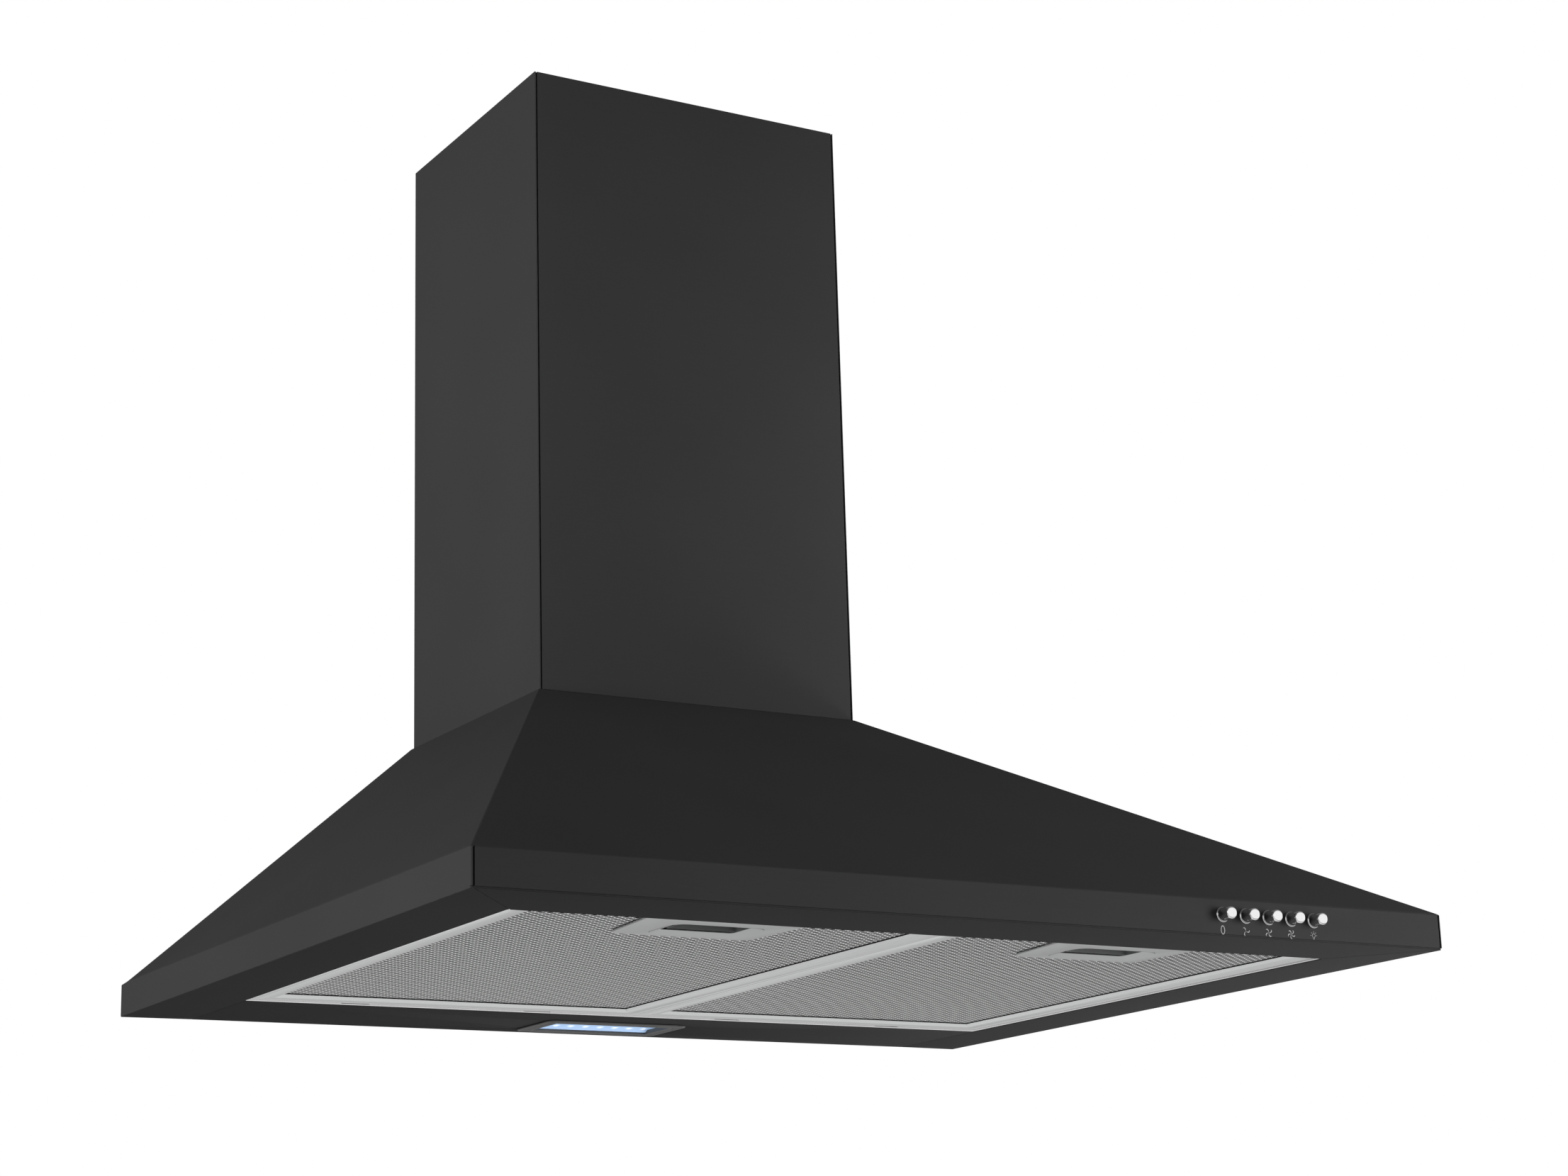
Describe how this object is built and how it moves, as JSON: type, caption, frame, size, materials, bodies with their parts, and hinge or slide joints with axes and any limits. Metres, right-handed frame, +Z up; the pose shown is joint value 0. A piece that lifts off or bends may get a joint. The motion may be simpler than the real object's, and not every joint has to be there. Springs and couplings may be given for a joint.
{
  "type": "chimney range hood",
  "caption": "Wall-mounted pyramid chimney hood with grease filters, push buttons, lamp, blower and telescopic chimney.",
  "frame": {"origin": "on the wall face of the back plate, midway between the two keyhole seats that the hood hangs from", "axes": "+Z up along the chimney, +Y into the wall, -Y towards the cook, +X to the right of someone facing the hood"},
  "size_m": [0.6, 0.5084, 0.5813],
  "materials": {
    "black_steel": "satin black enamel",
    "filter_aluminium": "satin",
    "plated_steel": "zinc plated",
    "chrome": "polished",
    "black_plastic": "fine texture",
    "grey_plastic": "fine texture",
    "white_plastic": "smooth",
    "lamp_lens": "frosted",
    "circuit_board": "solder mask"
  },
  "bodies": {
    "hood": {"canopy_shell": "black_steel", "back_plate": "plated_steel", "lamp_panel": "black_steel", "filter_support_frame": "plated_steel", "canopy_top_plate": "plated_steel", "lower_chimney_cover": "black_steel", "off_button_collar": "chrome", "speed_1_button_collar": "chrome", "speed_2_button_collar": "chrome", "speed_3_button_collar": "chrome", "light_button_collar": "chrome", "off_button_spring": "plated_steel", "speed_1_button_spring": "plated_steel", "speed_2_button_spring": "plated_steel", "speed_3_button_spring": "plated_steel", "light_button_spring": "plated_steel", "switch_housing": "black_plastic", "lamp_bezel": "grey_plastic", "lamp_lens": "lamp_lens", "led_board": "circuit_board", "lamp_tray": "plated_steel", "blower_housing": "black_plastic", "motor_body": "plated_steel", "motor_bracket": "plated_steel", "blower_screw_1": "plated_steel", "blower_screw_2": "plated_steel", "blower_screw_3": "plated_steel", "blower_screw_4": "plated_steel", "outlet_spigot": "black_plastic", "flap_pin": "plated_steel", "terminal_box": "black_plastic", "terminal_box_lid": "black_plastic", "capacitor": "white_plastic", "cable_gland": "black_plastic", "switch_lead": "black_plastic", "lamp_lead": "black_plastic", "motor_lead": "black_plastic"},
    "upper_chimney": {"upper_chimney_cover": "black_steel", "upper_wall_bracket": "plated_steel"},
    "left_filter": {"left_filter_frame": "filter_aluminium", "left_filter_net": "filter_aluminium", "left_filter_pack": "filter_aluminium", "left_latch_plate": "filter_aluminium", "left_latch_spring": "plated_steel"},
    "left_latch": {"left_latch_slider": "filter_aluminium"},
    "right_filter": {"right_filter_frame": "filter_aluminium", "right_filter_net": "filter_aluminium", "right_filter_pack": "filter_aluminium", "right_latch_plate": "filter_aluminium", "right_latch_spring": "plated_steel"},
    "right_latch": {"right_latch_slider": "filter_aluminium"},
    "wheel": {"impeller": "black_plastic", "motor_shaft": "plated_steel"},
    "front_damper": {"front_flap": "black_plastic"},
    "rear_damper": {"rear_flap": "black_plastic"},
    "off_key": {"off_button": "chrome"},
    "speed_1_key": {"speed_1_button": "chrome"},
    "speed_2_key": {"speed_2_button": "chrome"},
    "speed_3_key": {"speed_3_button": "chrome"},
    "light_key": {"light_button": "chrome"}
  },
  "joints": [
    {"name": "chimney_extend", "type": "slide", "parent": "hood", "child": "upper_chimney", "axis": [0, 0, 1], "range_m": [0, 0.33]},
    {"name": "left_filter_swing", "type": "hinge", "parent": "hood", "child": "left_filter", "pos_m": [-0.12685, -0.0924, -0.1383], "axis": [1, 0, 0], "range_deg": [0, 60]},
    {"name": "right_filter_swing", "type": "hinge", "parent": "hood", "child": "right_filter", "pos_m": [0.12685, -0.0924, -0.1383], "axis": [1, 0, 0], "range_deg": [0, 60]},
    {"name": "left_latch_slide", "type": "slide", "parent": "left_filter", "child": "left_latch", "axis": [0, 1, 0], "range_m": [0, 0.006], "stiffness_N_per_m": 400, "springref_m": -0.002, "deforming": ["left_latch_spring"]},
    {"name": "right_latch_slide", "type": "slide", "parent": "right_filter", "child": "right_latch", "axis": [0, 1, 0], "range_m": [0, 0.006], "stiffness_N_per_m": 400, "springref_m": -0.002, "deforming": ["right_latch_spring"]},
    {"name": "impeller_spin", "type": "hinge", "parent": "hood", "child": "wheel", "pos_m": [0, -0.092, -0.042], "axis": [1, 0, 0], "continuous": true},
    {"name": "front_flap_swing", "type": "hinge", "parent": "hood", "child": "front_damper", "pos_m": [0, -0.093, 0.066], "axis": [-1, 0, 0], "range_deg": [0, 78]},
    {"name": "rear_flap_swing", "type": "hinge", "parent": "hood", "child": "rear_damper", "pos_m": [0, -0.093, 0.066], "axis": [1, 0, 0], "range_deg": [0, 78]},
    {"name": "off_press", "type": "slide", "parent": "hood", "child": "off_key", "axis": [0, 1, 0], "range_m": [0, 0.004], "stiffness_N_per_m": 500, "springref_m": -0.003, "deforming": ["off_button_spring"]},
    {"name": "speed_1_press", "type": "slide", "parent": "hood", "child": "speed_1_key", "axis": [0, 1, 0], "range_m": [0, 0.004], "stiffness_N_per_m": 500, "springref_m": -0.003, "deforming": ["speed_1_button_spring"]},
    {"name": "speed_2_press", "type": "slide", "parent": "hood", "child": "speed_2_key", "axis": [0, 1, 0], "range_m": [0, 0.004], "stiffness_N_per_m": 500, "springref_m": -0.003, "deforming": ["speed_2_button_spring"]},
    {"name": "speed_3_press", "type": "slide", "parent": "hood", "child": "speed_3_key", "axis": [0, 1, 0], "range_m": [0, 0.004], "stiffness_N_per_m": 500, "springref_m": -0.003, "deforming": ["speed_3_button_spring"]},
    {"name": "light_press", "type": "slide", "parent": "hood", "child": "light_key", "axis": [0, 1, 0], "range_m": [0, 0.004], "stiffness_N_per_m": 500, "springref_m": -0.003, "deforming": ["light_button_spring"]}
  ]
}
